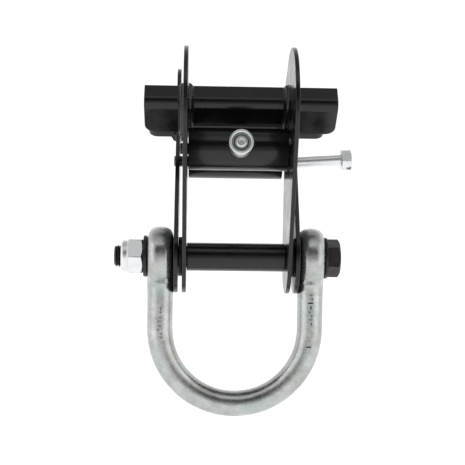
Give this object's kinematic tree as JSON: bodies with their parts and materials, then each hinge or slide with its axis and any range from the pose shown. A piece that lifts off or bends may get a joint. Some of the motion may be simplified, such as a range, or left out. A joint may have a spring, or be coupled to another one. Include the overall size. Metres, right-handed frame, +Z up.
{
  "type": "roof anchor",
  "caption": "Scissor beam clamp anchor: pinned plate links carry two folded jaws, drawn together by a tie bolt, with a bow shackle hanging from the main pin.",
  "frame": {"origin": "middle of the space for the beam's flange, halfway between the folds of the two jaws", "axes": "+X along the main pin towards its head, -Y towards the tie bolt's nut, +Z up towards the beam"},
  "size_m": [0.1766, 0.169, 0.2653],
  "materials": {
    "black_paint": "gloss",
    "black_oxide": "satin",
    "bright_zinc": "satin",
    "galvanised": "satin",
    "nylon": "matte"
  },
  "bodies": {
    "front_frame": {"front_link_left": "black_paint", "front_link_right": "black_paint", "front_jaw": "black_paint", "front_weld_left_inner": "black_paint", "front_weld_left_outer": "black_paint", "front_weld_right_inner": "black_paint", "front_weld_right_outer": "black_paint", "spacer_tube": "black_paint", "inner_washer_left": "black_oxide", "inner_washer_right": "black_oxide"},
    "rear_frame": {"rear_link_left": "black_paint", "rear_link_right": "black_paint", "rear_jaw": "black_paint", "rear_weld_left_inner": "black_paint", "rear_weld_left_outer": "black_paint", "rear_weld_right_inner": "black_paint", "rear_weld_right_outer": "black_paint"},
    "front_trunnion": {"front_trunnion": "black_paint", "front_stub_left": "black_paint", "front_stub_right": "black_paint"},
    "rear_trunnion": {"rear_trunnion": "black_paint", "rear_stub_left": "black_paint"},
    "tie_bolt": {"tie_bolt": "bright_zinc"},
    "tie_nut": {"tie_nut": "bright_zinc", "tie_nut_insert": "nylon"},
    "lock_screw": {"lock_screw": "bright_zinc"},
    "main_pin": {"pin_bolt": "black_oxide", "washer_head": "black_oxide", "washer_nut": "black_oxide", "pin_nut": "bright_zinc", "pin_nut_insert": "nylon"},
    "shackle": {"shackle": "galvanised"}
  },
  "joints": [
    {"name": "clamp_close", "type": "hinge", "parent": "front_frame", "child": "rear_frame", "pos_m": [0, -0.034, -0.1098], "axis": [1, 0, 0], "range_deg": [0, 10]},
    {"name": "pin_turn", "type": "hinge", "parent": "front_frame", "child": "main_pin", "pos_m": [0, -0.034, -0.1098], "axis": [1, 0, 0], "continuous": true},
    {"name": "shackle_swing", "type": "hinge", "parent": "front_frame", "child": "shackle", "pos_m": [0, -0.034, -0.1098], "axis": [1, 0, 0], "range_deg": [-115, 115]},
    {"name": "front_trunnion_turn", "type": "hinge", "parent": "front_frame", "child": "front_trunnion", "pos_m": [0, -0.05121, -0.03218], "axis": [1, 0, 0], "range_deg": [0, 5.01]},
    {"name": "rear_trunnion_turn", "type": "hinge", "parent": "rear_frame", "child": "rear_trunnion", "pos_m": [0, 0.00332, -0.03961], "axis": [1, 0, 0], "range_deg": [-5.01, 0]},
    {"name": "tie_bolt_slide", "type": "slide", "parent": "front_trunnion", "child": "tie_bolt", "axis": [0, -0.9909, 0.1349], "range_m": [0, 0.01325]},
    {"name": "tie_nut_turn", "type": "hinge", "parent": "front_trunnion", "child": "tie_nut", "pos_m": [0.0011, -0.05121, -0.03218], "axis": [0, -0.9909, 0.1349], "range_deg": [-3180, 0]},
    {"name": "lock_screw_slide", "type": "slide", "parent": "rear_trunnion", "child": "lock_screw", "axis": [0.9973, 0, 0.0732], "range_m": [0, 0.025]}
  ],
  "couplings": [
    {"joint": "front_trunnion_turn", "follows": "clamp_close", "ratio": 0.5},
    {"joint": "rear_trunnion_turn", "follows": "clamp_close", "ratio": -0.5},
    {"joint": "tie_bolt_slide", "follows": "clamp_close", "m_per_rad": 0.0757},
    {"joint": "tie_nut_turn", "follows": "clamp_close", "ratio": -317.1}
  ]
}
